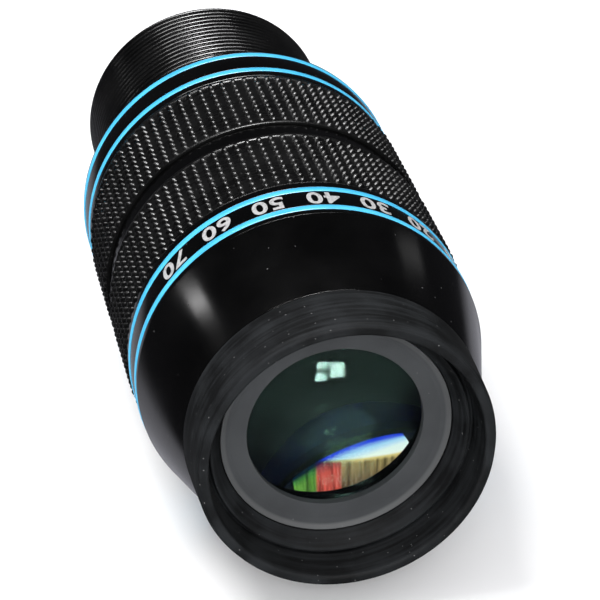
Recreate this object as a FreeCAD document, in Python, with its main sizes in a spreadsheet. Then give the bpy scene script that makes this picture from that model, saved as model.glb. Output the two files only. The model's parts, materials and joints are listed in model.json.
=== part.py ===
import FreeCAD, Part
import os
import re
import Sketcher

# A long wide-field telescope eyepiece for 2 inch focusers, as an assembly of its separate pieces.
# Millimetres. The optical axis runs along Y: the eye end looks towards -Y and the barrel points
# towards +Y. The origin is on the optical axis, in the plane of the shoulder that stops the
# eyepiece against the focuser. A station is a distance behind the rim of the rubber eyecup.

doc = FreeCAD.newDocument("Eyepiece")
sheet = doc.addObject("Spreadsheet::Sheet", "Sizes")

DRIVING_SIZES = [
    ("shoulder", 101.0, "station of the shoulder"),
    ("barrel_end", 138.6, "station of the barrel's open end"),
    ("barrel_radius", 25.4, "2 inch barrel"),
    ("barrel_bore", 23.0, "radius of the barrel's light path"),
    ("barrel_groove_depth", 0.55, "anti-slip rings in the barrel"),
    ("barrel_groove_width", 0.8, ""),
    ("barrel_groove_pitch", 1.8, ""),
    ("barrel_groove_count", 20, ""),
    ("barrel_end_land", 0.55, "plain land at the open end"),
    ("filter_bore", 23.6, "crest radius of the M48 x 0.75 filter thread"),
    ("filter_length", 6.0, ""),
    ("spigot_radius", 27.4, "barrel's threaded root in the housing"),
    ("spigot_length", 7.0, ""),
    ("stop_radius", 19.0, "field stop's clear radius"),
    ("stop_station", 82.0, ""),
    ("stop_length", 2.5, ""),
    ("body_radius", 31.95, "both collars of the housing"),
    ("strip_radius", 31.35, "smooth strip between the grips"),
    ("grip_seat", 30.9, "housing under the grips"),
    ("grip_radius", 32.45, "over the grips' dots"),
    ("front_grip_start", 42.8, ""),
    ("front_grip_end", 63.3, ""),
    ("rear_grip_start", 68.6, ""),
    ("rear_grip_end", 89.4, ""),
    ("accent_width", 1.7, "blue rings"),
    ("accent_depth", 0.8, ""),
    ("accent_a", 33.0, "centre station of each blue ring"),
    ("accent_b", 40.0, ""),
    ("accent_c", 92.3, ""),
    ("accent_d", 99.4, ""),
    ("housing_start", 30.7, "joint between cone and housing"),
    ("housing_bore", 27.0, ""),
    ("housing_chamfer", 0.35, ""),
    ("cone_thread", 28.9, "cone's threaded root in the housing"),
    ("cone_thread_length", 7.0, ""),
    ("cone_front", 26.85, "cone's radius where the eyecup sits on it"),
    ("cup_seat", 11.85, ""),
    ("neck_radius", 23.9, "flange that the eyecup's bead hooks behind"),
    ("neck_front", 9.9, ""),
    ("neck_flange", 0.85, ""),
    ("neck_groove", 22.7, ""),
    ("ring_thread", 20.7, "eye lens retaining ring"),
    ("ring_seam", 9.4, ""),
    ("ring_face", 10.5, ""),
    ("ring_face_radius", 18.9, ""),
    ("ring_opening", 15.85, ""),
    ("ring_back", 12.1, ""),
    ("ring_slope", 0.15, "rise of each seat that bears on a curved lens face"),
    ("shoulder_slope", 0.64, ""),
    ("cell_slope", 0.42, ""),
    ("spacer_slope", 0.5, ""),
    ("field_slope", 0.55, ""),
    ("field_ring_slope", 0.25, ""),
    ("lens_shoulder", 16.8, "seat behind the eye lens"),
    ("cell_bore", 25.0, "cone's bore around the lens cell"),
    ("cell_start", 21.6, ""),
    ("cell_step", 38.2, ""),
    ("cell_end", 75.0, ""),
    ("cell_lip", 20.2, "cell's seat in front of the middle lens pair"),
    ("cell_turn", 44.0, "station where the cell's bore widens"),
    ("fit", 0.05, "radial clearance of turned fits"),
    ("eye_glass", 18.0, "radius of the eye lens"),
    ("eye_front", 12.16, "its edge, front and back"),
    ("eye_back", 15.2, ""),
    ("eye_front_curve", 400.0, "radii of the lens faces"),
    ("eye_back_curve", 38.7, ""),
    ("middle_glass", 21.5, "radius of the middle pair"),
    ("middle_front", 23.6, ""),
    ("middle_join", 26.0, ""),
    ("middle_back", 29.8, ""),
    ("middle_front_curve", 74.8, ""),
    ("middle_join_curve", 50.0, ""),
    ("middle_back_curve", 63.4, ""),
    ("field_glass", 24.0, "radius of the field pair"),
    ("field_front", 63.35, ""),
    ("field_join", 65.4, ""),
    ("field_back", 69.4, ""),
    ("field_front_curve", 40.46, ""),
    ("field_join_curve", 120.0, ""),
    ("field_back_curve", 287.0, ""),
    ("spacer_opening", 20.4, "front and rear of the spacer's flared bore"),
    ("spacer_rear", 23.3, ""),
    ("field_ring_opening", 21.6, ""),
    ("field_ring_length", 4.0, ""),
    ("spanner_slot", 1.6, "slots for a pin spanner"),
    ("spanner_depth", 1.2, ""),
    ("lip_outer", 26.5, "eyecup's lip"),
    ("lip_inner", 24.4, ""),
    ("lip_length", 1.8, ""),
    ("lip_round", 0.9, ""),
    ("skirt_end", 7.3, "end of the part that folds"),
    ("skirt_inner", 23.9, ""),
    ("skirt_outer", 26.72, ""),
    ("ledge_radius", 22.75, "ledge around the eye lens"),
    ("ledge_lip", 0.45, ""),
    ("ledge_front", 6.1, ""),
    ("cup_opening", 20.8, ""),
]
for row, (alias, value, note) in enumerate(DRIVING_SIZES, start=1):
    sheet.set(f"A{row}", alias)
    sheet.set(f"B{row}", str(value))
    sheet.set(f"C{row}", note)
    sheet.setAlias(f"B{row}", alias)
doc.recompute()

SIZE_NAMES = {alias for alias, value, note in DRIVING_SIZES}
ALONG_AXIS = FreeCAD.Rotation(FreeCAD.Vector(1, 0, 0), -90)
sub_parts = []


def bound(text):
    """The expression with each size name pointing at its cell."""
    return re.sub(r"[a-z]+(_[a-z]+)*", lambda m: named(m.group()), text)


def named(word):
    return f"{sheet.Name}.{word}" if word in SIZE_NAMES else word


def along(station):
    """The Y coordinate of a station, as an expression."""
    return bound(f"{station} - shoulder")


def drive(thing, prop, text):
    thing.setExpression(prop, text)


def outline(body, name, corners, plane="XY_Plane"):
    """A closed sketch through corners, each a pair of expressions for its two coordinates."""
    sketch = body.newObject("Sketcher::SketchObject", name)
    support = next(f for f in body.Origin.OriginFeatures if f.Role == plane)
    sketch.AttachmentSupport = [(support, "")]
    sketch.MapMode = "FlatFace"
    places = [
        FreeCAD.Vector(sheet.evalExpression(x), sheet.evalExpression(y), 0)
        for x, y in corners
    ]
    for start, end in zip(places, places[1:] + places[:1]):
        sketch.addGeometry(Part.LineSegment(start, end), False)
    count = len(corners)
    for i in range(count):
        sketch.addConstraint(Sketcher.Constraint("Coincident", i, 2, (i + 1) % count, 1))
    for i, (x, y) in enumerate(corners):
        for kind, value, text in (("DistanceX", places[i].x, x), ("DistanceY", places[i].y, y)):
            index = sketch.addConstraint(Sketcher.Constraint(kind, -1, 1, i, 1, value))
            drive(sketch, f"Constraints[{index}]", text)
    return sketch


def profile(body, name, corners):
    """A sketch through the axis. Corners are pairs of radius and station."""
    return outline(body, name, [(bound(radius), along(station)) for radius, station in corners])


def turned(label, corners):
    """A body turned about the optical axis from a closed profile."""
    body = doc.addObject("PartDesign::Body", label)
    body.Label = label
    sketch = profile(body, f"{label}_profile", corners)
    turn = body.newObject("PartDesign::Revolution", f"{label}_turning")
    turn.Profile = sketch
    turn.ReferenceAxis = (sketch, ["V_Axis"])
    turn.Angle = 360
    body.Tip = turn
    sub_parts.append(body)
    return body


def groove(body, name, inner, outer, start, end):
    """A ring cut into a turned body, from one radius to the other and one station to the other."""
    sketch = profile(
        body, f"{name}_profile", [(inner, start), (outer, start), (outer, end), (inner, end)]
    )
    cut = body.newObject("PartDesign::Groove", name)
    cut.Profile = sketch
    cut.ReferenceAxis = (sketch, ["V_Axis"])
    cut.Angle = 360
    body.Tip = cut
    return cut


def round_edges(shape, radius, station):
    """The names of the circular edges of that radius at that station."""
    wanted_radius = sheet.evalExpression(bound(radius))
    wanted_y = sheet.evalExpression(along(station))
    found = []
    for i, edge in enumerate(shape.Edges, start=1):
        if not isinstance(edge.Curve, Part.Circle):
            continue
        same_size = abs(edge.Curve.Radius - wanted_radius) < 0.01
        if same_size and abs(edge.Curve.Center.y - wanted_y) < 0.01:
            found.append(f"Edge{i}")
    if not found:
        raise RuntimeError(f"no edge of radius {radius} at station {station}")
    return found


def dress(body, kind, prop, size, edges):
    """A Fillet or Chamfer of that size on the circular edges at each (radius, station)."""
    doc.recompute()
    base = body.Tip
    names = [n for radius, station in edges for n in round_edges(base.Shape, radius, station)]
    feature = body.newObject(f"PartDesign::{kind}", f"{body.Name}_{kind.lower()}")
    feature.Base = (base, names)
    drive(feature, prop, bound(size))
    body.Tip = feature


def spanner_slots(body, inner, outer, face):
    """Two opposite slots for a pin spanner, cut towards the eye from the face at a station."""
    doc.recompute()
    slot = outline(
        body,
        f"{body.Name}_slot_outline",
        [
            (bound(inner), along(f"({face} - spanner_depth)")),
            (bound(outer), along(f"({face} - spanner_depth)")),
            (bound(outer), along(f"({face} + spanner_depth)")),
            (bound(inner), along(f"({face} + spanner_depth)")),
        ],
    )
    whole = body.Tip.Shape.Volume
    pocket = body.newObject("PartDesign::Pocket", f"{body.Name}_slot")
    pocket.Profile = slot
    pocket.Midplane = True
    drive(pocket, "Length", bound("spanner_slot"))
    body.Tip = pocket
    doc.recompute()
    if pocket.Shape.Volume >= whole:
        raise RuntimeError(f"{body.Name}: the spanner slot cut nothing")
    axis = next(f for f in body.Origin.OriginFeatures if f.Role == "Y_Axis")
    pattern = body.newObject("PartDesign::PolarPattern", f"{body.Name}_slots")
    pattern.Originals = [pocket]
    pattern.Axis = (axis, [""])
    pattern.Angle = 360
    pattern.Occurrences = 2
    body.Tip = pattern


def solid_of(kind, name, station, sizes):
    """A Part primitive on the optical axis, starting or centred at a station."""
    thing = doc.addObject(f"Part::{kind}", name)
    thing.Placement = FreeCAD.Placement(FreeCAD.Vector(0, 0, 0), ALONG_AXIS)
    drive(thing, "Placement.Base.y", along(station))
    for prop, text in sizes.items():
        drive(thing, prop, bound(text))
    return thing


def drop(radius, curve):
    """How far a sphere's centre is from the plane of its rim on a lens of that radius."""
    return f"sqrt({curve} ^ 2 - {radius} ^ 2)"


def lens(label, radius, front, back, front_curve, back_curve, front_hollow=False):
    """A round lens whose rim runs from station front to station back. A curve is the radius of
    the sphere that a face is ground to. The back bulges, and the front does unless it is hollow."""
    start = front if front_hollow else f"({front} - {front_curve} + {drop(radius, front_curve)})"
    end = f"({back} + {back_curve} - {drop(radius, back_curve)})"
    shape = solid_of(
        "Cylinder", f"{label}_blank", start, {"Radius": radius, "Height": f"{end} - {start}"}
    )
    front_sign = "-" if front_hollow else "+"
    for side, edge, sign, curve, hollow in (
        ("front", front, front_sign, front_curve, front_hollow),
        ("back", back, "-", back_curve, False),
    ):
        centre = f"({edge} {sign} {drop(radius, curve)})"
        ball = solid_of("Sphere", f"{label}_{side}_ball", centre, {"Radius": curve})
        ground = doc.addObject("Part::Cut" if hollow else "Part::Common", f"{label}_{side}_ground")
        ground.Base = shape
        ground.Tool = ball
        shape = ground
    shape.Label = label
    sub_parts.append(shape)


# Eyecup: one rubber moulding on the real object, divided here where it folds.
def make_eyecup():
    lip = turned("eyecup_lip", [
        ("lip_inner", "0"),
        ("lip_outer", "0"),
        ("lip_outer", "lip_length"),
        ("lip_inner - 0.1", "lip_length"),
    ])
    dress(lip, "Fillet", "Radius", "lip_round", [("lip_inner", "0"), ("lip_outer", "0")])
    turned("eyecup_skirt", [
        ("lip_inner - 0.1", "lip_length"),
        ("lip_outer", "lip_length"),
        ("skirt_outer", "skirt_end"),
        ("skirt_inner", "skirt_end"),
    ])
    turned("eyecup_base", [
        ("neck_groove + fit", "cup_seat"),
        ("cone_front", "cup_seat"),
        ("skirt_outer", "skirt_end"),
        ("ledge_radius + ledge_lip", "skirt_end"),
        ("ledge_radius + ledge_lip", "ledge_front"),
        ("ledge_radius", "ledge_front"),
        ("cup_opening", "ring_seam - fit"),
        ("cup_opening", "neck_front"),
        ("neck_radius + fit", "neck_front"),
        ("neck_radius + fit", "neck_front + neck_flange"),
        ("neck_groove + fit", "neck_front + neck_flange"),
    ])


# Eye end: the dished retaining ring, the cone it screws into, and the housing behind the cone.
def make_eye_end():
    turned("eye_retaining_ring", [
        ("ring_thread", "ring_seam"),
        ("ring_face_radius", "ring_face"),
        ("ring_opening", "ring_face"),
        ("ring_opening", "ring_back - ring_slope"),
        ("eye_glass", "ring_back"),
        ("ring_thread", "ring_back"),
    ])
    turned("eye_cone", [
        ("ring_thread + fit", "neck_front"),
        ("neck_radius", "neck_front"),
        ("neck_radius", "neck_front + neck_flange"),
        ("neck_groove", "neck_front + neck_flange"),
        ("neck_groove", "cup_seat"),
        ("cone_front", "cup_seat"),
        ("body_radius", "housing_start"),
        ("cone_thread", "housing_start"),
        ("cone_thread", "housing_start + cone_thread_length"),
        ("cell_bore", "housing_start + cone_thread_length"),
        ("cell_bore", "cell_start - fit"),
        ("lens_shoulder", "cell_start - 2.2"),
        ("lens_shoulder", "eye_back + shoulder_slope"),
        ("eye_glass + fit", "eye_back"),
        ("eye_glass + fit", "ring_back"),
        ("ring_thread + fit", "ring_back"),
    ])


def make_housing():
    housing = turned("main_housing", [
        ("cone_thread + fit", "housing_start"),
        ("body_radius", "housing_start"),
        ("body_radius", "front_grip_start"),
        ("grip_seat", "front_grip_start"),
        ("grip_seat", "front_grip_end"),
        ("strip_radius", "front_grip_end"),
        ("strip_radius", "rear_grip_start"),
        ("grip_seat", "rear_grip_start"),
        ("grip_seat", "rear_grip_end"),
        ("body_radius", "rear_grip_end"),
        ("body_radius", "shoulder"),
        ("spigot_radius + fit", "shoulder"),
        ("spigot_radius + fit", "shoulder - spigot_length"),
        ("housing_bore", "shoulder - spigot_length"),
        ("housing_bore", "housing_start + cone_thread_length"),
        ("cone_thread + fit", "housing_start + cone_thread_length"),
    ])
    for number, centre in enumerate(("accent_a", "accent_b", "accent_c", "accent_d"), start=1):
        start = f"({centre} - accent_width / 2)"
        end = f"({centre} + accent_width / 2)"
        inner = "body_radius - accent_depth"
        groove(housing, f"accent_groove_{number}", inner, "body_radius + accent_depth", start, end)
        turned(f"accent_ring_{number}", [
            (inner, start),
            ("body_radius - 0.04", start),
            ("body_radius - 0.04", end),
            (inner, end),
        ])
    dress(housing, "Chamfer", "Size", "housing_chamfer", [
        ("body_radius", "shoulder"),
        ("body_radius", "rear_grip_end"),
        ("body_radius", "front_grip_start"),
    ])


def make_grips():
    for label, start, end in (
        ("front_grip_band", "front_grip_start", "front_grip_end"),
        ("rear_grip_band", "rear_grip_start", "rear_grip_end"),
    ):
        turned(label, [
            ("grip_seat", start),
            ("grip_radius - 0.3", start),
            ("grip_radius", f"{start} + 0.3"),
            ("grip_radius", f"{end} - 0.9"),
            ("grip_radius - 0.5", f"{end} - 0.9"),
            ("grip_radius - 0.5", end),
            ("grip_seat", end),
        ])


# Barrel: grooved outside so that a focuser's clamp can't slip, threaded inside for filters.
def make_barrel():
    barrel = turned("barrel_tube", [
        ("barrel_bore", "shoulder - spigot_length"),
        ("spigot_radius", "shoulder - spigot_length"),
        ("spigot_radius", "shoulder"),
        ("barrel_radius", "shoulder"),
        ("barrel_radius", "barrel_end"),
        ("filter_bore", "barrel_end"),
        ("filter_bore", "barrel_end - filter_length"),
        ("barrel_bore", "barrel_end - filter_length"),
    ])
    last_end = "(barrel_end - barrel_end_land)"
    first = groove(
        barrel,
        "barrel_groove",
        "barrel_radius - barrel_groove_depth",
        "barrel_radius + barrel_groove_depth",
        f"({last_end} - barrel_groove_width)",
        last_end,
    )
    axis = next(f for f in barrel.Origin.OriginFeatures if f.Role == "Y_Axis")
    rings = barrel.newObject("PartDesign::LinearPattern", "barrel_grooves")
    rings.Originals = [first]
    rings.Direction = (axis, [""])
    rings.Reversed = True
    drive(rings, "Length", bound("barrel_groove_pitch * (barrel_groove_count - 1)"))
    drive(rings, "Occurrences", bound("barrel_groove_count"))
    barrel.Tip = rings


# Optics: five lenses in three groups.
def make_optics():
    lens("eye_lens", "eye_glass", "eye_front", "eye_back", "eye_front_curve", "eye_back_curve")
    lens("middle_crown_lens", "middle_glass", "middle_front", "middle_join",
         "middle_front_curve", "middle_join_curve")
    lens("middle_flint_lens", "middle_glass", "middle_join", "middle_back",
         "middle_join_curve", "middle_back_curve", front_hollow=True)
    lens("field_crown_lens", "field_glass", "field_front", "field_join",
         "field_front_curve", "field_join_curve")
    lens("field_flint_lens", "field_glass", "field_join", "field_back",
         "field_join_curve", "field_back_curve", front_hollow=True)


# Mounting inside: the cell, the spacer between its pairs, its ring, and the field stop.
def make_lens_cell():
    turned("lens_cell", [
        ("cell_lip", "cell_start"),
        ("cell_bore - fit", "cell_start"),
        ("cell_bore - fit", "cell_step"),
        ("housing_bore - fit", "cell_step"),
        ("housing_bore - fit", "cell_end"),
        ("field_glass + fit", "cell_end"),
        ("field_glass + fit", "cell_turn"),
        ("middle_glass + fit", "cell_turn"),
        ("middle_glass + fit", "middle_front"),
        ("cell_lip", "middle_front - cell_slope"),
    ])
    turned("lens_spacer", [
        ("spacer_opening", "middle_back + spacer_slope"),
        ("middle_glass", "middle_back"),
        ("middle_glass", "cell_turn"),
        ("field_glass", "cell_turn"),
        ("field_glass", "field_front"),
        ("spacer_rear", "field_front - field_slope"),
        ("spacer_opening + 0.4", "cell_turn"),
    ])
    ring_end = "(field_back + field_ring_length)"
    ring = turned("field_retaining_ring", [
        ("field_ring_opening", "field_back + field_ring_slope"),
        ("field_glass", "field_back"),
        ("field_glass", ring_end),
        ("field_ring_opening + 0.8", ring_end),
        ("field_ring_opening", f"{ring_end} - 0.8"),
    ])
    spanner_slots(ring, "field_ring_opening - 1", "field_glass + 1", ring_end)
    stop_end = "(stop_station + stop_length)"
    stop = turned("field_stop", [
        ("stop_radius + 1.5", "stop_station"),
        ("housing_bore - fit", "stop_station"),
        ("housing_bore - fit", stop_end),
        ("stop_radius", stop_end),
        ("stop_radius", f"{stop_end} - 0.3"),
    ])
    spanner_slots(stop, "housing_bore - 3.5", "housing_bore + 1", stop_end)


make_eyecup()
make_eye_end()
make_housing()
make_grips()
make_barrel()
make_optics()
make_lens_cell()
doc.recompute()

for thing in doc.Objects:
    if {"Invalid", "Error"} & set(thing.State):
        raise RuntimeError(f"{thing.Label} failed: {thing.State}")
for part in sub_parts:
    if part.Shape.isNull() or not part.Shape.isValid() or len(part.Shape.Solids) != 1:
        raise RuntimeError(f"{part.Label} is not one valid solid")

os.makedirs("parts", exist_ok=True)
for part in sub_parts:
    part.Shape.exportStep(os.path.join("parts", f"{part.Label}.step"))
    box = part.Shape.BoundBox
    print(
        f"{part.Label:24s} {part.Shape.Volume:10.1f} mm3"
        f"  y {box.YMin:8.2f} {box.YMax:8.2f}  r {box.XMax:6.2f}"
    )
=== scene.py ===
import json
import math

import bmesh
import bpy
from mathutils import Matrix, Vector


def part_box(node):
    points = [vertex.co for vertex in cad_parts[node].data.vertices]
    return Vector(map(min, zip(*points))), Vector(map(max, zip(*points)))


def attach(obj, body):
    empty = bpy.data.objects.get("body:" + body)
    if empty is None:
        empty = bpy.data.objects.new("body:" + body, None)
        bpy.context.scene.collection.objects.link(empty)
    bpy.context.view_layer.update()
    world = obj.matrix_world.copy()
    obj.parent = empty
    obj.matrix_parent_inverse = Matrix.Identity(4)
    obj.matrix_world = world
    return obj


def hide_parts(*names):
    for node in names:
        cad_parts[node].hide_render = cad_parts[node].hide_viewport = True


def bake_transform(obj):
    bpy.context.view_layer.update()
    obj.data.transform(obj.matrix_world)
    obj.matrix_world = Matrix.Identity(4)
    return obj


# A long wide-field telescope eyepiece lying on a pale floor, eyecup towards the camera. The optical
# axis runs along Y. Outlines are in millimetres, as pairs of a place along Y and a radius, with
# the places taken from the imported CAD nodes. Meshes and everything else are in metres.

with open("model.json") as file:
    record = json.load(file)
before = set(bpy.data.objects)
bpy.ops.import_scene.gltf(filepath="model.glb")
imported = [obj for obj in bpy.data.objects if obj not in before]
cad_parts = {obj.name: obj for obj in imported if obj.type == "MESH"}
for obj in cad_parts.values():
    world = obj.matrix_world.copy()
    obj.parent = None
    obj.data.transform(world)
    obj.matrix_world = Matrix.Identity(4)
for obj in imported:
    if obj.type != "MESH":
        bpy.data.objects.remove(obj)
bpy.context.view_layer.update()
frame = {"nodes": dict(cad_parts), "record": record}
nodes = frame["nodes"]

MM = 0.001
SECTORS = 256  # faces around the axis
EVEN_ANGLES = [2 * math.pi * sector / SECTORS for sector in range(SECTORS)]
ARC_STEP = math.radians(15)  # turn between two points of a rounded corner
HARD_EDGE = math.radians(38)


def span(node):
    """Where a turned CAD node starts and ends along the axis, and its outer radius, in mm."""
    low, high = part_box(node)
    return low.y / MM, high.y / MM, high.x / MM


RIM = span("eyecup_lip")[0]
CUP_SEAT, CUP_OUTER = span("eyecup_base")[1:]
CONE_END, BODY_OUTER = span("eye_cone")[1] - 7.0, span("eye_cone")[2]
SHOULDER = span("main_housing")[1]
FRONT_GRIP, FRONT_GRIP_END, GRIP_OUTER = span("front_grip_band")
REAR_GRIP, REAR_GRIP_END = span("rear_grip_band")[:2]
BARREL_END = span("barrel_tube")[1]
mounts = {mount["name"]: mount for mount in frame["record"]["mounts"]}
BARREL_OUTER = mounts["barrel"]["dims"]["r_mm"]
FILTER_BORE = mounts["filter_thread"]["dims"]["r_mm"]
FILTER_LENGTH = mounts["filter_thread"]["dims"]["length_mm"]
STRIP_OUTER = 31.35
GRIP_SEAT = 30.9


# --- meshes -----------------------------------------------------------------------------------
def rounded(corners, closed=True):
    """The points of an outline of (y, radius) or (y, radius, rounding) corners, as arcs."""
    points = []
    count = len(corners)
    for i, corner in enumerate(corners):
        here = Vector(corner[:2])
        rounding = corner[2] if len(corner) == 3 else 0
        if not rounding or (not closed and i in (0, count - 1)):
            points.append(tuple(here))
            continue
        before = (Vector(corners[i - 1][:2]) - here).normalized()
        after = (Vector(corners[(i + 1) % count][:2]) - here).normalized()
        opening = before.angle(after)
        turn = math.pi - opening
        centre = here + (before + after).normalized() * rounding / math.sin(opening / 2)
        start = here + before * rounding / math.tan(opening / 2) - centre
        end = here + after * rounding / math.tan(opening / 2) - centre
        steps = max(2, math.ceil(turn / ARC_STEP))
        for step in range(steps + 1):
            share = step / steps
            arm = start * math.sin((1 - share) * turn) + end * math.sin(share * turn)
            points.append(tuple(centre + arm / math.sin(turn)))
    return points


def finish_mesh(name, bm, material, body="eyepiece"):
    bmesh.ops.recalc_face_normals(bm, faces=bm.faces)
    mesh = bpy.data.meshes.new(name)
    bm.to_mesh(mesh)
    bm.free()
    mesh.polygons.foreach_set("use_smooth", [True] * len(mesh.polygons))
    mesh.set_sharp_from_angle(angle=HARD_EDGE)
    mesh.materials.append(material)
    piece = bpy.data.objects.new(name, mesh)
    bpy.context.scene.collection.objects.link(piece)
    if body:
        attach(piece, body)
    return piece


def turned(name, outline, material, stands_for, closed=True, body="eyepiece", angles=None):
    """A piece turned about the axis. The outline is a list of points, or a function of the
    angle that gives one. An open outline starts and ends on the axis."""
    bm = bmesh.new()
    rings = []
    for angle in angles or EVEN_ANGLES:
        points = outline(angle) if callable(outline) else outline
        across, up = math.sin(angle) * MM, math.cos(angle) * MM
        rings.append([bm.verts.new((r * across, y * MM, r * up)) for y, r in points])
    count = len(rings[0])
    for ring, following in zip(rings, rings[1:] + rings[:1]):
        for i in range(count if closed else count - 1):
            j = (i + 1) % count
            bm.faces.new((ring[i], ring[j], following[j], following[i]))
    if not closed:
        bmesh.ops.remove_doubles(bm, verts=bm.verts, dist=1e-8)
    piece = finish_mesh(name, bm, material, body)
    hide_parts(*stands_for)
    return piece


# --- materials --------------------------------------------------------------------------------
LENS_BORE = 20.0  # metal nearer to the axis than this, in mm, doesn't shine
GLASS_IOR = 1.52
COATING_IOR = 1.14  # sets how little the coated faces mirror
FIELD_MIDDLE = -36.0  # between the faces of the field pair, mm
PAINTED_FRINGE_START = 20.0  # where the painted blue fringe starts, mm from the axis
PAINTED_FRINGE_WIDTH = 0.4


class Nodes:
    """The few node recipes that the finishes and the sky are mixed from."""

    def __init__(self, owner, coordinates):
        owner.use_nodes = True
        self.tree = owner.node_tree
        self.place = self.node("ShaderNodeTexCoord").outputs[coordinates]

    def node(self, kind, inputs=(), **settings):
        made = self.tree.nodes.new(kind)
        for setting, value in settings.items():
            setattr(made, setting, value)
        for socket, value in dict(inputs).items():
            if isinstance(value, bpy.types.NodeSocket):
                self.tree.links.new(value, made.inputs[socket])
            else:
                made.inputs[socket].default_value = value
        return made

    def math(self, operation, *values):
        return self.node("ShaderNodeMath", enumerate(values), operation=operation).outputs[0]

    def stretched(self, across, along):
        """Places scaled across and along the axis, so that a texture runs around the piece."""
        return self.node(
            "ShaderNodeMapping", {"Vector": self.place, "Scale": (across, along, across)}
        ).outputs[0]

    def noise(self, scale, detail=3.0, places=None):
        return self.node(
            "ShaderNodeTexNoise",
            {"Vector": places or self.place, "Scale": scale, "Detail": detail},
        ).outputs["Fac"]

    def ramp(self, value, low, high, start=0.0, end=1.0):
        """value mapped from low..high to start..end, and held at the ends."""
        return self.node(
            "ShaderNodeMapRange",
            {"Value": value, "From Min": low, "From Max": high, "To Min": start, "To Max": end},
        ).outputs[0]

    def mix(self, share, first, second):
        return self.node(
            "ShaderNodeMix", {0: share, 6: first, 7: second}, data_type="RGBA"
        ).outputs[2]

    def bands(self, value, *stops):
        """Colours that follow one another as value grows. A stop is a place and its colour."""
        ramp = self.node("ShaderNodeValToRGB", {"Fac": value})
        elements = ramp.color_ramp.elements
        while len(elements) < len(stops):
            elements.new(1.0)
        for element, (place, colour) in zip(elements, stops):
            element.position = place
            element.color = (*colour, 1)
        return ramp.outputs[0]

    def specks(self, scale, size, kept):
        """Sparse small dots, such as dust: 1 inside a dot. kept is the share of cells with one."""
        cells = self.node("ShaderNodeTexVoronoi", {"Vector": self.place, "Scale": scale})
        inside = self.ramp(cells.outputs["Distance"], size, size * 0.5)
        chosen = self.ramp(
            self.node("ShaderNodeSeparateColor", {0: cells.outputs["Color"]}).outputs[0],
            kept, kept * 0.7,
        )
        return self.math("MULTIPLY", inside, chosen)


class Paint(Nodes):
    """A Principled material."""

    def __init__(self, name, **sockets):
        self.material = bpy.data.materials.new(name)
        super().__init__(self.material, "Object")
        self.shader = self.tree.nodes["Principled BSDF"]
        for socket, value in sockets.items():
            self.put(socket.replace("_", " "), value)

    def put(self, socket, value):
        if isinstance(value, bpy.types.NodeSocket):
            self.tree.links.new(value, self.shader.inputs[socket])
        else:
            self.shader.inputs[socket].default_value = value

    def radius(self):
        """The distance from the axis, in metres."""
        parts = self.node("ShaderNodeSeparateXYZ", {0: self.place}).outputs
        return self.math("SQRT", self.math(
            "ADD",
            self.math("MULTIPLY", parts["X"], parts["X"]),
            self.math("MULTIPLY", parts["Z"], parts["Z"]),
        ))

    def bump(self, height, strength, distance):
        self.put("Normal", self.node(
            "ShaderNodeBump",
            {"Height": height, "Strength": strength, "Distance": distance},
        ).outputs[0])


def grey(value, warmth=0.0):
    return (value * (1 + warmth), value, value * (1 - warmth), 1)


def rubber_paint(name, dark, light, roughness, dust, specular):
    """Moulded rubber: cloudy, with wiping streaks around the axis, and dusty."""
    paint = Paint(name, Specular_IOR_Level=specular)
    clouds = paint.noise(140, 5)
    streaks = paint.noise(1.0, 4, paint.stretched(60, 1400))
    tone = paint.math("ADD", paint.math("MULTIPLY", clouds, 0.5),
                      paint.math("MULTIPLY", streaks, 0.5))
    colour = paint.mix(paint.ramp(tone, 0.41, 0.59), dark, light)
    fine = paint.specks(1500, 0.22, 0.06)
    colour = paint.mix(paint.math("MULTIPLY", fine, dust), colour, grey(0.16))
    paint.put("Base Color", colour)
    paint.put("Roughness", paint.ramp(tone, 0.3, 0.7, roughness - 0.06, roughness + 0.08))
    grain = paint.noise(4200, 3)
    paint.bump(paint.math("ADD", grain, paint.math("MULTIPLY", streaks, 0.8)), 0.35, 0.00006)
    return paint.material


def turned_metal(name, dark, light, roughness, lines=0.25, specular=0.5, dust=0.5):
    """Black anodised turned metal: fine turning lines around the axis, faint clouds and dust.
    The bore that the lenses sit in doesn't shine."""
    paint = Paint(name)
    outside = paint.ramp(paint.radius(), (LENS_BORE - 0.4) * MM, LENS_BORE * MM)
    paint.put("Specular IOR Level", paint.math("MULTIPLY", outside, specular))
    turning = paint.noise(1.0, 2, paint.stretched(8, 9000))
    clouds = paint.noise(90, 4)
    paint.put("Base Color", paint.mix(
        paint.math("MULTIPLY", paint.specks(900, 0.14, 0.05), dust),
        paint.mix(paint.ramp(clouds, 0.35, 0.65), dark, light),
        grey(0.2),
    ))
    worn = paint.math("ADD", clouds, paint.math("MULTIPLY", turning, 0.5))
    paint.put("Roughness", paint.ramp(worn, 0.4, 1.1, roughness - 0.04, roughness + 0.06))
    paint.bump(turning, lines, 0.00001)
    return paint.material


def enamel_paint():
    """Bright blue enamel in the ring grooves, a little deeper in places."""
    paint = Paint("blue_enamel", Roughness=0.28, Specular_IOR_Level=0.5)
    clouds = paint.noise(1.0, 3, paint.stretched(150, 900))
    paint.put("Base Color", paint.mix(
        paint.ramp(clouds, 0.35, 0.65), (0.045, 0.40, 0.68, 1), (0.075, 0.50, 0.80, 1)
    ))
    paint.bump(paint.noise(2500, 2), 0.08, 0.00002)
    return paint.material


def marking_paint():
    paint = Paint("marking_paint", Roughness=0.55)
    wear = paint.noise(1900, 4)
    paint.put("Base Color", paint.mix(paint.ramp(wear, 0.32, 0.5), grey(0.22), grey(0.40)))
    paint.bump(wear, 0.2, 0.00002)
    return paint.material


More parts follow.
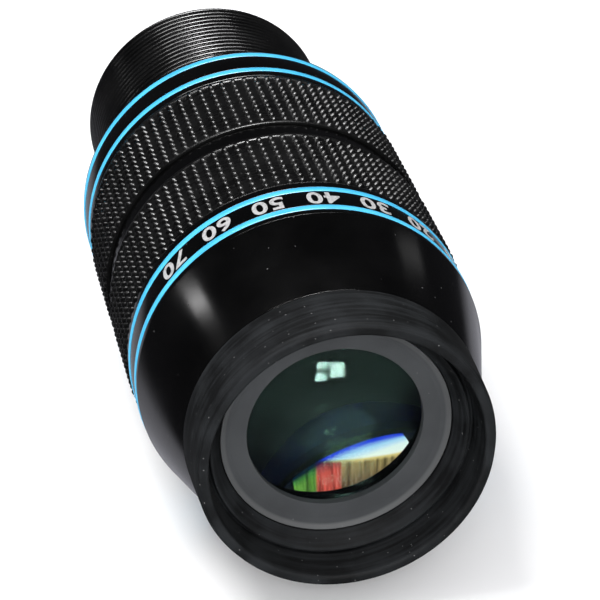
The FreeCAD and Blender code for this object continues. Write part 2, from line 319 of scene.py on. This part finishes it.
def glass_paint(name, painted_fringe=False):
    """Optical glass with a green coating that mirrors little, a thin haze and dust. On the glass with a
    painted fringe, light through the rim of the barrel-side face is tinted blue: a painted colour
    fringe that stands in for the dispersion seen at a field's edge."""
    paint = Paint(name, Base_Color=(0.24, 0.31, 0.36, 1), Roughness=0.8)
    colour = (0.97, 1.0, 0.985, 1)
    # Painted blue fringe: the refracted colour turns pale, then deep blue near the rim of the
    # barrel-side face, in place of the dispersion of light at the field's edge.
    if painted_fringe:
        parts = paint.node("ShaderNodeSeparateXYZ", {0: paint.place})
        behind = paint.ramp(parts.outputs["Y"], FIELD_MIDDLE * MM, (FIELD_MIDDLE + 1) * MM)
        painted_fringe_mask = paint.math("MULTIPLY", behind, paint.ramp(
            paint.radius(), PAINTED_FRINGE_START * MM, (PAINTED_FRINGE_START + PAINTED_FRINGE_WIDTH) * MM))
        pale = paint.mix(paint.ramp(painted_fringe_mask, 0.0, 0.5), colour, (0.5, 0.75, 1.0, 1))
        colour = paint.mix(paint.ramp(painted_fringe_mask, 0.5, 0.9), pale, (0.02, 0.06, 0.75, 1))
    bent = paint.node("ShaderNodeBsdfRefraction", {"Color": colour, "IOR": GLASS_IOR, "Roughness": 0.0})
    mirrored = paint.node("ShaderNodeBsdfGlossy", {"Color": (0.6, 1.0, 0.85, 1), "Roughness": 0.0})
    coated = paint.node("ShaderNodeMixShader", {
        0: paint.node("ShaderNodeFresnel", {"IOR": COATING_IOR}).outputs[0],
        1: bent.outputs[0],
        2: mirrored.outputs[0],
    })
    dusty = paint.node("ShaderNodeMixShader", {
        0: paint.ramp(paint.specks(1300, 0.16, 0.03), 0.0, 1.0, 0.008, 0.5),
        1: coated.outputs[0],
        2: paint.shader.outputs[0],
    })
    output = paint.tree.nodes["Material Output"]
    paint.tree.links.new(dusty.outputs[0], output.inputs["Surface"])
    return paint.material


EYECUP_RUBBER = rubber_paint("eyecup_rubber", grey(0.005, -0.1), grey(0.016, -0.1), 0.7, 0.8, 0.08)
GRIP_RUBBER = rubber_paint("grip_rubber", grey(0.002), grey(0.005), 0.28, 0.5, 0.45)
BLACK_ANODISED = turned_metal("black_anodised", grey(0.001), grey(0.002), 0.14, specular=0.4)
BARREL_BLACK = turned_metal("barrel_black", grey(0.002), grey(0.005), 0.2, lines=0.4)
RING_GREY = turned_metal("ring_grey", grey(0.048, -0.05), grey(0.060, -0.05), 0.6, dust=0.4)
INSIDE_BLACK = turned_metal("inside_black", grey(0.006), grey(0.012), 0.5)
BLUE_ENAMEL = enamel_paint()
MARKING_PAINT = marking_paint()

# --- eyecup: one rubber moulding ---------------------------------------------------------------
LEDGE = RIM + 6.1
FOLD = RIM + 7.3
eyecup_outline = rounded([
    (CUP_SEAT, 22.75),
    (CUP_SEAT, CUP_OUTER, 0.25),
    (RIM + 9.0, CUP_OUTER - 0.05, 4.0),
    (RIM + 1.3, 26.5, 0.5),
    (RIM + 0.75, 26.2, 0.3),
    (RIM, 26.1, 0.5),
    (RIM, 24.4, 0.7),
    (RIM + 1.9, 24.25, 0.6),
    (FOLD, 23.85, 0.3),
    (FOLD, 23.2, 0.3),
    (LEDGE, 23.15, 0.2),
    (LEDGE, 22.75, 0.2),
    (RIM + 9.3, 20.85, 0.15),
    (RIM + 9.9, 20.85),
    (RIM + 9.9, 23.95),
    (RIM + 10.75, 23.95),
    (RIM + 10.75, 22.75),
])
eyecup = turned("eyecup", eyecup_outline, EYECUP_RUBBER,
                ("eyecup_lip", "eyecup_skirt", "eyecup_base"), body=None)
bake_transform(eyecup)

# --- eye end ----------------------------------------------------------------------------------
turned("retaining_ring", rounded([
    (RIM + 9.4, 20.7, 0.1),
    (RIM + 10.5, 18.9, 0.3),
    (RIM + 10.5, 15.85, 0.15),
    (RIM + 11.95, 15.85),
    (RIM + 12.1, 18.0),
    (RIM + 12.1, 20.7),
]), RING_GREY, ("eye_retaining_ring",))
turned("cone", rounded([
    (RIM + 9.9, 20.75),
    (RIM + 9.9, 23.9),
    (RIM + 10.75, 23.9),
    (RIM + 10.75, 22.7),
    (CUP_SEAT, 22.7),
    (CUP_SEAT, CUP_OUTER, 0.05),
    (CONE_END, BODY_OUTER, 0.05),
    (CONE_END, 28.9),
    (CONE_END + 7.0, 28.9),
    (CONE_END + 7.0, 25.0),
    (RIM + 21.55, 25.0),
    (RIM + 19.4, 16.8),
    (RIM + 15.84, 16.8),
    (RIM + 15.2, 18.05),
    (RIM + 12.1, 18.05),
    (RIM + 12.1, 20.75),
]), BLACK_ANODISED, ("eye_cone",))

# --- housing, its blue rings and its grips -----------------------------------------------------
RING_WIDTH = 1.7
RING_CENTRES = [RIM + station for station in (33.0, 40.0, 92.3, 99.4)]


def groove_corners(centre):
    """A blue ring's groove in a collar, from its eye side to its barrel side."""
    near, far = centre - RING_WIDTH / 2, centre + RING_WIDTH / 2
    bottom = BODY_OUTER - 0.8
    return [(near, BODY_OUTER, 0.08), (near, bottom), (far, bottom), (far, BODY_OUTER, 0.08)]


turned("housing", rounded([
    (CONE_END, 28.95),
    (CONE_END, BODY_OUTER, 0.05),
    *groove_corners(RING_CENTRES[0]),
    *groove_corners(RING_CENTRES[1]),
    (FRONT_GRIP, BODY_OUTER, 0.25),
    (FRONT_GRIP, GRIP_SEAT),
    (FRONT_GRIP_END, GRIP_SEAT),
    (FRONT_GRIP_END, STRIP_OUTER, 0.1),
    (REAR_GRIP, STRIP_OUTER, 0.1),
    (REAR_GRIP, GRIP_SEAT),
    (REAR_GRIP_END, GRIP_SEAT),
    (REAR_GRIP_END, BODY_OUTER, 0.25),
    *groove_corners(RING_CENTRES[2]),
    *groove_corners(RING_CENTRES[3]),
    (SHOULDER, BODY_OUTER, 0.35),
    (SHOULDER, 27.45),
    (SHOULDER - 7.0, 27.45),
    (SHOULDER - 7.0, 27.0),
    (CONE_END + 7.0, 27.0),
    (CONE_END + 7.0, 28.95),
]), BLACK_ANODISED, ("main_housing",))
for number, centre in enumerate(RING_CENTRES, start=1):
    near, far = centre - RING_WIDTH / 2, centre + RING_WIDTH / 2
    turned(f"blue_ring_{number}", rounded([
        (near, BODY_OUTER - 0.8),
        (near, BODY_OUTER + 0.05, 0.3),
        (centre, BODY_OUTER + 0.16, 0.8),
        (far, BODY_OUTER + 0.05, 0.3),
        (far, BODY_OUTER - 0.8),
    ]), BLUE_ENAMEL, (f"accent_ring_{number}",))

DOT_COLUMNS = 90
DOT_ROWS = 10
DOT_FLOOR = 31.72
DOT_SAMPLES = (-0.5, -0.31, -0.25, -0.13, 0.0, 0.13, 0.25, 0.31)  # within one dot's pitch
DOT_HALF = 0.31


def dot_height(across, along):
    """The height of a dot, 0 to 1, at a place within its pitch."""
    reach = (abs(across / DOT_HALF) ** 2.6 + abs(along / DOT_HALF) ** 2.6) ** (1 / 2.6)
    return math.sqrt(1 - reach ** 2) if reach < 1 else 0.0


def grip(name, start, end, first_row, pitch, stands_for):
    """A rubber band with a square grid of domed dots and a plain border at its barrel end."""
    height = GRIP_OUTER - DOT_FLOOR
    border = GRIP_OUTER - 0.5
    places = [(row + offset, offset) for row in range(DOT_ROWS) for offset in DOT_SAMPLES]

    def outline(angle):
        column = (angle * DOT_COLUMNS / (2 * math.pi)) % 1 - 0.5
        points = [(start, GRIP_SEAT), (start, DOT_FLOOR + 0.15), (start + 0.12, DOT_FLOOR + 0.2)]
        points += [
            (start + first_row + row * pitch, DOT_FLOOR + height * dot_height(column, offset))
            for row, offset in places
        ]
        return points + [
            (end - 0.95, DOT_FLOOR), (end - 0.85, border - 0.06), (end - 0.75, border),
            (end - 0.15, border), (end - 0.04, border - 0.05), (end, border - 0.15),
            (end, GRIP_SEAT),
        ]

    angles = [
        2 * math.pi * (column + 0.5 + offset) / DOT_COLUMNS
        for column in range(DOT_COLUMNS) for offset in DOT_SAMPLES
    ]
    turned(name, outline, GRIP_RUBBER, (stands_for,), angles=angles)


grip("front_grip", FRONT_GRIP, FRONT_GRIP_END, 1.0, 1.97, "front_grip_band")
grip("rear_grip", REAR_GRIP, REAR_GRIP_END, 0.95, 2.0, "rear_grip_band")

# --- barrel -----------------------------------------------------------------------------------
GROOVES = 20
GROOVE_PITCH = 1.8
GROOVE_WIDTH = 0.8
GROOVE_DEPTH = 0.55
barrel_corners = [(SHOULDER - 7.0, 23.0), (SHOULDER - 7.0, 27.4), (SHOULDER, 27.4),
                  (SHOULDER, BARREL_OUTER)]
for number in range(GROOVES):
    near = BARREL_END - 0.55 - GROOVE_WIDTH - GROOVE_PITCH * (GROOVES - 1 - number)
    far = near + GROOVE_WIDTH
    barrel_corners += [
        (near, BARREL_OUTER, 0.42), (near, BARREL_OUTER - GROOVE_DEPTH, 0.1),
        (far, BARREL_OUTER - GROOVE_DEPTH, 0.1), (far, BARREL_OUTER, 0.42),
    ]
barrel_corners += [(BARREL_END, BARREL_OUTER, 0.25), (BARREL_END, FILTER_BORE + 0.4, 0.2)]
THREAD_PITCH = 0.75
for turn in range(int(FILTER_LENGTH / THREAD_PITCH)):
    crest = BARREL_END - 0.4 - THREAD_PITCH * (turn + 0.5)
    barrel_corners += [(crest + THREAD_PITCH * 0.4, FILTER_BORE + 0.38), (crest, FILTER_BORE)]
barrel_corners += [(BARREL_END - FILTER_LENGTH - 0.3, FILTER_BORE + 0.3),
                   (BARREL_END - FILTER_LENGTH - 0.3, 23.0)]
turned("barrel", rounded(barrel_corners), BARREL_BLACK, ("barrel_tube",))

# --- optics -----------------------------------------------------------------------------------
LENS_STEPS = 40  # faces from the axis to the rim


def lens(name, radius, front, front_curve, back, back_curve, paint, stands_for):
    """A lens with bulging faces whose vertices are at front and back."""
    def sag(height, curve):
        return curve - math.sqrt(curve ** 2 - height ** 2)

    heights = [radius * step / LENS_STEPS for step in range(LENS_STEPS + 1)]
    outline = [(front + sag(h, front_curve), h) for h in heights]
    outline += [(back - sag(h, back_curve), h) for h in reversed(heights)]
    return turned(name, outline, paint, stands_for, closed=False)


lens("eye_glass", 18.0, RIM + 11.755, 400.0, RIM + 19.64, 38.7,
     glass_paint("eye_glass_coated"), ("eye_lens",))
lens("middle_pair", 21.5, RIM + 20.45, 74.8, RIM + 33.53, 63.4,
     glass_paint("middle_glass_coated"), ("middle_crown_lens", "middle_flint_lens"))
# The field pair carries the painted blue fringe.
lens("field_pair", 24.0, RIM + 55.46, 40.46, RIM + 70.4, 287.0,
     glass_paint("field_glass_coated", painted_fringe=True), ("field_crown_lens", "field_flint_lens"))
for node in ("lens_cell", "lens_spacer", "field_retaining_ring", "field_stop"):
    nodes[node].data.materials.clear()
    nodes[node].data.materials.append(INSIDE_BLACK)

# --- markings: plain dial numbers on the front collar --------------------------------------------
MARK_HEIGHT = 4.2
MARK_CENTRE = RIM + 36.4
MARK_RADIUS = BODY_OUTER + 0.01
MARK_THICKNESS = 0.04


def marking(text, degrees):
    """Raised numbers bent around the collar, their tops towards the eye, read clockwise."""
    font = bpy.data.curves.new("number", "FONT")
    font.body = text
    font.size = MARK_HEIGHT * 1.4
    font.offset = 0.12
    font.space_character = 1.08
    font.align_x = "CENTER"
    flat = bpy.data.objects.new("number", font)
    bpy.context.scene.collection.objects.link(flat)
    bpy.context.view_layer.update()
    mesh = bpy.data.meshes.new_from_object(flat)
    bpy.data.objects.remove(flat)
    bm = bmesh.new()
    bm.from_mesh(mesh)
    bpy.data.meshes.remove(mesh)
    lows = min(v.co.y for v in bm.verts)
    highs = max(v.co.y for v in bm.verts)
    reach = max(abs(v.co.x) for v in bm.verts)
    cut = -reach
    while cut < reach:
        bmesh.ops.bisect_plane(bm, geom=bm.verts[:] + bm.edges[:] + bm.faces[:],
                               plane_co=(cut, 0, 0), plane_no=(1, 0, 0))
        cut += 0.4
    bmesh.ops.solidify(bm, geom=bm.faces[:], thickness=MARK_THICKNESS)
    floor_height = min(v.co.z for v in bm.verts)
    for vert in bm.verts:
        angle = math.radians(degrees) - vert.co.x / MARK_RADIUS
        radius = MARK_RADIUS + vert.co.z - floor_height
        along = MARK_CENTRE - (vert.co.y - (lows + highs) / 2)
        vert.co = Vector((radius * math.sin(angle), along, radius * math.cos(angle))) * MM
    piece = finish_mesh(f"number_{text}", bm, MARKING_PAINT)


for number in range(7):
    marking(str(10 * (number + 1)), 60 - 18 * number)

# --- floor, light and camera ---------------------------------------------------------------------
FLOOR = -GRIP_OUTER * MM
bm = bmesh.new()
bmesh.ops.create_circle(bm, cap_ends=True, radius=6.0, segments=96)
floor_paint = Paint("floor", Roughness=0.9, Specular_IOR_Level=0.1)
floor_paint.put("Base Color", floor_paint.mix(
    floor_paint.noise(4, 2), (0.88, 0.88, 0.885, 1), (0.90, 0.90, 0.90, 1)
))
floor = finish_mesh("floor", bm, floor_paint.material, body=None)
floor.location.z = FLOOR
floor.visible_glossy = False  # gloss sees the sky's grey in its place


def toward(azimuth, elevation):
    """The direction at an azimuth from +Y toward +X and an elevation, in degrees."""
    a, e = math.radians(azimuth), math.radians(elevation)
    return Vector((math.sin(a) * math.cos(e), math.cos(a) * math.cos(e), math.sin(e)))


def area_light(name, location, direction, width, height, radiance, gloss=True, matt=True):
    """A plain rectangular light that shines against a direction, its width level. It may be left
    out of glossy highlights, or light nothing but them."""
    light = bpy.data.lights.new(name, "AREA")
    light.shape = "RECTANGLE"
    light.size, light.size_y = width, height
    light.energy = radiance * math.pi * width * height
    lamp = bpy.data.objects.new(name, light)
    bpy.context.scene.collection.objects.link(lamp)
    lamp.location = location
    lamp.rotation_euler = direction.to_track_quat("Z", "Y").to_euler()
    lamp.visible_camera = False
    lamp.visible_glossy = gloss
    lamp.visible_diffuse = matt


def softbox(name, azimuth, elevation, distance, width, height, radiance, gloss=True, matt=True):
    """An area light that faces the middle of the eyepiece from a distance, in metres."""
    direction = toward(azimuth, elevation)
    location = Vector((0, -0.03, 0)) + direction * distance
    area_light(name, location, direction, width, height, radiance, gloss, matt)


softbox("key", -80, 70, 1.3, 0.5, 0.5, 14.0, gloss=False)
softbox("front_fill", 192, 28, 1.3, 0.7, 0.6, 6.0, gloss=False)
softbox("front_top", 180, 60, 1.2, 0.34, 0.45, 60.0, matt=False)
softbox("overhead_left", -90, 71, 1.2, 0.36, 0.36, 22.0, matt=False)
softbox("overhead_right", 90, 75, 1.2, 0.32, 0.32, 20.0, matt=False)
softbox("side_left", -57, 22, 1.4, 0.09, 0.22, 9.0, matt=False)
softbox("side_right", 52, 19, 1.4, 0.12, 0.30, 0.4, matt=False)
# The small window that the eye lens mirrors: three panes, as (x, z, width, height) in mm.
WINDOW_PLACE = -136.5
for number, (x, z, width, height) in enumerate((
        (7.3, -13.2, 2.2, 1.3), (7.2, -16.6, 2.4, 2.0), (11.2, -15.0, 3.4, 3.6)), start=1):
    area_light(f"window_{number}", Vector((x, WINDOW_PLACE, z)) * MM, toward(168, -28),
               width * MM, height * MM, 190.0, matt=False)


def sky():
    """The surroundings. The camera sees a plain pale backdrop, gloss sees a dark studio that is
    grey low down at the sides, and matt surfaces are lit by even white. Light through the optics
    comes from what stands behind the eyepiece: a bright sky and, above it, a brown fence,
    something red and leaves, as the lenses show them."""
    world = bpy.data.worlds.new("studio")
    bpy.context.scene.world = world
    mixer = Nodes(world, "Generated")
    parts = mixer.node("ShaderNodeSeparateXYZ", {0: mixer.place})
    degree = 180 / math.pi
    elevation = mixer.math("MULTIPLY", mixer.math("ARCSINE", parts.outputs["Z"]), degree)
    azimuth = mixer.math(
        "MULTIPLY", mixer.math("ARCTAN2", parts.outputs["X"], parts.outputs["Y"]), degree
    )
    low_sides = mixer.math(
        "MULTIPLY",
        mixer.ramp(elevation, -13.0, -20.0),
        mixer.math("MULTIPLY", mixer.ramp(azimuth, -44.0, -36.0), mixer.ramp(azimuth, 54.0, 46.0)),
    )
    around = mixer.mix(low_sides, (0.03, 0.03, 0.034, 1), (0.40, 0.40, 0.44, 1))
    line = mixer.node("ShaderNodeCombineXYZ", {"X": azimuth, "Y": mixer.math(
        "MULTIPLY", elevation, 0.08)}).outputs[0]
    streaks = mixer.ramp(mixer.noise(0.9, 4, line), 0.38, 0.62, 0.35, 1.25)
    far = mixer.bands(
        mixer.ramp(elevation, 0.0, 24.0),
        (0.0, (0.72, 0.85, 1.0)), (0.25, (0.85, 0.94, 1.0)), (0.335, (1.0, 1.0, 0.95)),
        (0.36, (0.85, 0.62, 0.25)), (0.40, (0.35, 0.24, 0.10)), (0.62, (0.22, 0.13, 0.07)),
        (0.85, (0.05, 0.03, 0.02)), (1.0, (0.012, 0.013, 0.014)),
    )
    scenery = mixer.ramp(elevation, 8.6, 9.4)
    red = mixer.math("MULTIPLY", mixer.ramp(azimuth, -1.0, -0.4), scenery)
    far = mixer.mix(red, far, (0.75, 0.10, 0.08, 1))
    green = mixer.math("MULTIPLY", mixer.ramp(azimuth, 5.6, 6.4), mixer.ramp(elevation, 6, 8))
    far = mixer.mix(green, far, (0.13, 0.30, 0.05, 1))
    far = mixer.node("ShaderNodeMix", {0: scenery, 6: far, 7: streaks},
                     data_type="RGBA", blend_type="MULTIPLY").outputs[2]
    ray = mixer.node("ShaderNodeLightPath").outputs
    through = mixer.math(
        "MULTIPLY", ray["Is Transmission Ray"], mixer.ramp(parts.outputs["Y"], 0.4, 0.6)
    )
    seen = mixer.mix(through, around, far)
    seen = mixer.mix(ray["Is Diffuse Ray"], seen, (1.0, 1.0, 1.02, 1))
    seen = mixer.mix(ray["Is Camera Ray"], seen, (0.93, 0.93, 0.935, 1))
    mixer.tree.links.new(seen, mixer.tree.nodes["Background"].inputs["Color"])


sky()

camera_data = bpy.data.cameras.new("camera")
camera_data.lens = 156
camera_data.sensor_width = 36
camera = bpy.data.objects.new("camera", camera_data)
bpy.context.scene.collection.objects.link(camera)
camera.location = (-0.0858, -0.4649, 0.2447)
camera.rotation_euler = (math.radians(60.31), 0, math.radians(-11.975))
bpy.context.scene.camera = camera
bpy.context.scene.view_settings.view_transform = "Standard"
